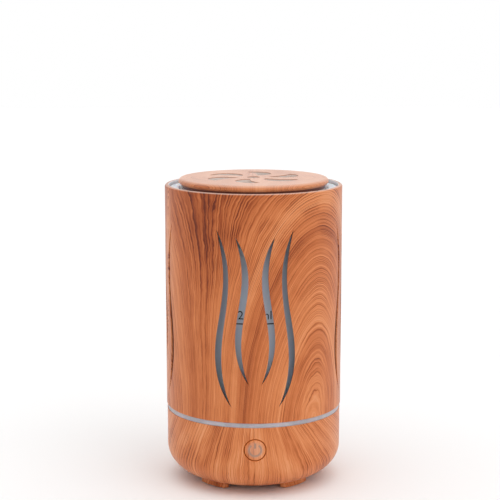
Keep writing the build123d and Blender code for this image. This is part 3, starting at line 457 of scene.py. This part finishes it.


def tank_plastic():
    """Frosted grey-blue water tank with faint flow marks."""
    graph = Graph("tank_plastic")
    place, x, y, z = graph.position()
    flow = graph.noise(graph.vector(x, y, graph.math("MULTIPLY", z, 0.15)), 0.09, 3.0)
    frost = graph.noise(place, 2.4, 3.0)
    high = graph.fit(z, 160.5, 161.2)
    body = graph.mix(graph.fit(flow, 0.3, 0.7), srgb(186, 193, 206), srgb(206, 212, 222))
    tint = graph.mix(high, body, srgb(226, 228, 232))
    graph.set(Base_Color=tint, Roughness=graph.fit(frost, 0.3, 0.7, 0.34, 0.5), Subsurface_Weight=0.25)
    angle = round_place(graph, x, y)[0]
    # painted light: a faint glow behind the front slots, near the fill mark's height
    glow = graph.fit(graph.math("ABSOLUTE", angle), 0.18, 0.34, TANK_GLOW, 0.0)
    off = graph.math("ABSOLUTE", graph.math("SUBTRACT", z, MARK_Z))
    glow = graph.math("MULTIPLY", glow, graph.fit(off, 14.0, 36.0, 1.0, 0.0))
    graph.set(Emission_Color=tint, Emission_Strength=glow)
    graph.shader.inputs["Subsurface Scale"].default_value = 0.003
    graph.bump(frost, 0.06, 0.0001)
    return graph.material


PLUG_GLOW = 0.12           # painted light: glow on the plug's top standing in for light that falls through the leaf openings


def plug_plastic():
    """White plug, with painted light and a faint glow on its top under the leaf openings."""
    graph = Graph("plug_plastic")
    place, x, y, z = graph.position()
    radius = round_place(graph, x, y)[1]
    cloud = graph.noise(place, 0.12, 3.0)
    speck = graph.noise(place, 3.5, 2.0)
    plug_top = lid_low.z
    top = graph.fit(z, plug_top - 0.6, plug_top - 0.2)
    # painted light: the plug's top under the leaf openings takes the pale colour and a glow
    lit = graph.math("MULTIPLY", top, graph.fit(radius, LEAF_REACH, LEAF_REACH + 1, 1.0, 0.0))
    plain = graph.mix(graph.fit(cloud, 0.3, 0.7), srgb(204, 206, 210), srgb(224, 225, 229))
    graph.set(Base_Color=graph.mix(lit, plain, LEAF_LIGHT_PAINT), Roughness=graph.fit(speck, 0.3, 0.7, 0.36, 0.46))
    graph.set(Emission_Color=LEAF_LIGHT_PAINT, Emission_Strength=graph.math("MULTIPLY", lit, PLUG_GLOW))
    graph.bump(speck, 0.08, 0.0001)
    return graph.material


def ring_plastic():
    """Milky light ring with soft cloudiness."""
    graph = Graph("ring_plastic")
    place = graph.position()[0]
    cloud = graph.noise(place, 0.16, 3.0)
    speck = graph.noise(place, 4.0, 2.0)
    tint = graph.mix(graph.fit(cloud, 0.3, 0.7), srgb(170, 164, 170), srgb(188, 182, 188))
    graph.set(Base_Color=tint, Roughness=graph.fit(speck, 0.3, 0.7, 0.25, 0.38), Subsurface_Weight=0.4)
    graph.shader.inputs["Subsurface Scale"].default_value = 0.002
    graph.bump(speck, 0.04, 0.0001)
    return graph.material


def circuit_board():
    """Green solder mask with copper tracks showing through."""
    graph = Graph("circuit_board")
    place, x, y, z = graph.position()
    grid = graph.math("PINGPONG", graph.math("ADD", x, graph.noise(place, 0.25, 0.0)), 1.3)
    rows = graph.math("PINGPONG", y, 1.9)
    track = graph.fit(graph.math("MINIMUM", grid, rows), 0.18, 0.30)
    glass = graph.noise(place, 3.0, 3.0)
    mask = graph.mix(graph.fit(glass, 0.3, 0.7), srgb(10, 82, 44), srgb(16, 96, 54))
    tint = graph.mix(track, srgb(40, 132, 74), mask)
    graph.set(Base_Color=tint, Roughness=0.3, Coat_Weight=0.3)
    graph.bump(track, 0.2, 0.00005)
    return graph.material


def windings(name, colour):
    """Enamelled wire wound side by side."""
    graph = Graph(name)
    place, x, y, z = graph.position()
    turns = graph.math("SINE", graph.math("MULTIPLY", z, 20.0))
    wear_and_highlight = graph.noise(place, 0.6, 2.0)
    tint = graph.mix(graph.fit(turns, -1, 1), tuple(c * 0.45 for c in colour[:3]) + (1.0,), colour)
    graph.set(Base_Color=tint, Roughness=graph.fit(wear_and_highlight, 0.3, 0.7, 0.25, 0.4), Metallic=0.6)
    graph.bump(turns, 0.5, 0.0001)
    return graph.material


MATERIALS = {
    "white_plastic": moulded("white_plastic", srgb(232, 233, 236), 0.42),
    "tank_plastic": tank_plastic(),
    "light_diffuser": ring_plastic(),
    "pad_rubber": moulded("pad_rubber", srgb(46, 42, 40), 0.75, 0.3, 0.12),
    "silicone": moulded("silicone", srgb(214, 214, 210), 0.55, 0.1, 0.05, Subsurface_Weight=0.2),
    "black_plastic": moulded("black_plastic", srgb(36, 36, 38), 0.5, 0.15, 0.12),
    "clamp_plastic": moulded("clamp_plastic", srgb(206, 206, 200), 0.5),
    "screw_steel": metal("screw_steel", srgb(196, 197, 200), 0.32, (1, 1, 6)),
    "contact_metal": metal("contact_metal", srgb(214, 210, 198), 0.22, (1, 5, 1)),
    "bearing_brass": metal("bearing_brass", srgb(212, 178, 108), 0.3, (1, 1, 5)),
    "ferrite": moulded("ferrite", srgb(58, 58, 62), 0.6, 0.3, 0.15),
    "copper_winding": windings("copper_winding", srgb(198, 112, 62)),
    "aluminium": metal("aluminium", srgb(208, 210, 214), 0.34, (1, 1, 8)),
    "circuit_board": circuit_board(),
    "connector_plastic": moulded("connector_plastic", srgb(228, 220, 196), 0.4),
    "led_lens": moulded("led_lens", srgb(240, 226, 150), 0.2, 0.03, 0.05, Coat_Weight=0.5),
    "lead_jacket": moulded("lead_jacket", srgb(60, 60, 64), 0.55, 0.12, 0.1),
}
OWN = {"sleeve": sleeve_wood(), "base_shell": base_wood(), "lid_cap": lid_wood()}
OWN["power_button"] = OWN["base_shell"]
OWN["lid_insert"] = plug_plastic()


def dress_nodes():
    """Give every CAD node its own material, or else the one of its slot."""
    slots = {part["node"]: part["material_slot"] for part in frame["record"]["subparts"]}
    for name, thing in nodes.items():
        material = OWN.get(name) or MATERIALS[slots[name]]
        thing.data.materials.clear()
        thing.data.materials.append(material)


dress_nodes()


# ---------------------------------------------------------------- fill mark and power sign
MARK_SPAN = 30.0           # length of the fill line
MARK_LINE_W = 0.65
MARK_STEPS = 40
MARK_TEXT_H = 6.6
MARK_TEXT_RISE = 2.4       # from the line to the foot of the figure
SIGN_R = 3.20              # power sign on the button
SIGN_STROKE = 1.05
SIGN_GAP = 38.0            # degrees left open each side of the top
SIGN_STEPS = 48
SIGN_BAR = (1.0, 1.9, 2.8, 3.7)    # steps of the bar, up from the sign's middle


def wrapped(name, points, faces, radius, height):
    """Thin raised piece: flat (across, up) points in millimetres bent round the front."""
    mesh = bmesh.new()
    layers = []
    for raised in (-0.02, height):
        far = radius + raised
        bent = [(far * math.sin(u / radius), -far * math.cos(u / radius), v) for u, v in points]
        layers.append([mesh.verts.new(Vector(place) * MM) for place in bent])
    below, above = layers
    for face in faces:
        mesh.faces.new([above[i] for i in face])
        mesh.faces.new([below[i] for i in reversed(face)])
    for edge in [edge for edge in mesh.edges if len(edge.link_faces) == 1 and edge.verts[0] in above]:
        first, second = (above.index(vert) for vert in edge.verts)
        mesh.faces.new([above[first], above[second], below[second], below[first]])
    bmesh.ops.recalc_face_normals(mesh, faces=mesh.faces)
    data = bpy.data.meshes.new(name)
    mesh.to_mesh(data)
    mesh.free()
    piece = bpy.data.objects.new(name, data)
    bpy.context.scene.collection.objects.link(piece)
    return piece


def strip(rows):
    """Points and faces of a strip between pairs of (across, up) points."""
    points = [point for pair in rows for point in pair]
    faces = [(2 * i, 2 * i + 1, 2 * i + 3, 2 * i + 2) for i in range(len(rows) - 1)]
    return points, faces


def fill_line():
    """Line across the front of the tank, with ends that taper a little."""
    rows = []
    for step in range(MARK_STEPS + 1):
        across = MARK_SPAN * (step / MARK_STEPS - 0.5)
        half = MARK_LINE_W / 2 * (0.6 if step in (0, MARK_STEPS) else 1.0)
        rows.append(((across, MARK_Z - half), (across, MARK_Z + half)))
    return wrapped("fill_line", *strip(rows), TANK_WALL_R, 0.1)


def fill_text():
    """Plain capacity figure over the line."""
    letters = bpy.data.curves.new("fill_text", "FONT")
    letters.body = "250 ml"
    letters.align_x = "CENTER"
    letters.size = MARK_TEXT_H
    letters.resolution_u = 3
    flat = bpy.data.objects.new("fill_text_flat", letters)
    mesh = flat.to_mesh()
    points = [(vert.co.x, vert.co.y + MARK_Z + MARK_TEXT_RISE) for vert in mesh.vertices]
    faces = [tuple(face.vertices) for face in mesh.polygons]
    flat.to_mesh_clear()
    bpy.data.objects.remove(flat)
    bpy.data.curves.remove(letters)
    return wrapped("fill_text", points, faces, TANK_WALL_R, 0.1)


def power_sign():
    """Open ring and bar on the button."""
    half = SIGN_STROKE / 2
    near, far = SIGN_R - half, SIGN_R + half
    rows = []
    for step in range(SIGN_STEPS + 1):
        angle = math.radians(90 + SIGN_GAP + (360 - 2 * SIGN_GAP) * step / SIGN_STEPS)
        across, up = math.cos(angle), math.sin(angle)
        rows.append(((near * across, BUTTON_Z + near * up), (far * across, BUTTON_Z + far * up)))
    ring, ring_faces = strip(rows)
    bar, bar_faces = strip([((-half, BUTTON_Z + up), (half, BUTTON_Z + up)) for up in SIGN_BAR])
    count = len(ring)
    faces = ring_faces + [tuple(i + count for i in face) for face in bar_faces]
    return wrapped("power_sign", ring + bar, faces, BUTTON_FACE_R, 0.06)


def add_markings():
    """Fill mark on the tank and sign on the button."""
    ink = moulded("mark_ink", srgb(26, 27, 30), 0.5, 0.1, 0.15)
    for piece in (fill_line(), fill_text()):
        piece.data.materials.append(ink)
        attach(piece, "base")
    sign = power_sign()
    sign.data.materials.append(moulded("sign_grey", srgb(172, 132, 112), 0.35, 0.05, 0.08))
    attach(sign, "button")


add_markings()


# ---------------------------------------------------------------- floor, light and camera
FLOOR_HALF = 3.0           # metres


def plain_floor():
    """Pale floor under the feet."""
    mesh = bpy.data.meshes.new("floor")
    half = FLOOR_HALF
    corners = [(-half, -half, 0), (half, -half, 0), (half, half, 0), (-half, half, 0)]
    mesh.from_pydata(corners, [], [(0, 1, 2, 3)])
    floor = bpy.data.objects.new("floor", mesh)
    bpy.context.scene.collection.objects.link(floor)
    graph = Graph("floor_paint")
    place = graph.position()[0]
    soft = graph.noise(place, 0.004, 2.0)
    graph.set(Base_Color=graph.mix(soft, (0.93, 0.93, 0.93, 1), (0.97, 0.97, 0.97, 1)), Roughness=0.8)
    mesh.materials.append(graph.material)


TENT_GLOW = 0.62           # light that the tent sheds, of the 1.0 that it is seen with
KEY_LIGHT = 0.40
TOP_LIGHT = 1.25


def soft_sun(name, place, strength, spread):
    """Even light from a wide panel far away in the direction of place."""
    data = bpy.data.lights.new(name, "SUN")
    data.energy = strength
    data.angle = math.radians(spread)
    light = bpy.data.objects.new(name, data)
    light.rotation_mode = "QUATERNION"
    light.rotation_quaternion = (-Vector(place)).to_track_quat("-Z", "Y")
    bpy.context.scene.collection.objects.link(light)


def studio():
    """White tent with a soft key from the right and a soft top light."""
    world = bpy.data.worlds.new("tent")
    world.use_nodes = True
    tent = world.node_tree
    ray = tent.nodes.new("ShaderNodeLightPath")
    glow = tent.nodes.new("ShaderNodeMapRange")
    glow.inputs["To Min"].default_value = 1.0
    glow.inputs["To Max"].default_value = TENT_GLOW
    tent.links.new(ray.outputs["Is Diffuse Ray"], glow.inputs["Value"])
    tent.nodes["Background"].inputs["Color"].default_value = (1, 1, 1, 1)
    tent.links.new(glow.outputs[0], tent.nodes["Background"].inputs["Strength"])
    bpy.context.scene.world = world
    soft_sun("key", (0.9, -0.8, 0.8), KEY_LIGHT, 50.0)
    soft_sun("top", (0.0, -0.1, 1.0), TOP_LIGHT, 80.0)
    bpy.context.scene.view_settings.view_transform = "Standard"


CAMERA_DISTANCE = 790.1    # from the axis of the body
CAMERA_HEIGHT = 257.1
CAMERA_SIDE = 1.0          # degrees to the left of the front
CAMERA_DOWN = 10.51        # degrees that it looks down


def camera():
    """Camera above the rim, in front and a little to the left."""
    azimuth = math.radians(CAMERA_SIDE)
    data = bpy.data.cameras.new("camera")
    data.sensor_width = 36.0
    data.lens = 105.6
    data.shift_x = -0.0071
    data.shift_y = 0.057
    data.clip_start = 0.05
    thing = bpy.data.objects.new("camera", data)
    across = -CAMERA_DISTANCE * math.sin(azimuth)
    forward = -CAMERA_DISTANCE * math.cos(azimuth)
    thing.location = Vector((across, forward, CAMERA_HEIGHT)) * MM
    thing.rotation_euler = (math.radians(90 - CAMERA_DOWN), 0, -azimuth)
    bpy.context.scene.collection.objects.link(thing)
    bpy.context.scene.camera = thing


plain_floor()
studio()
camera()
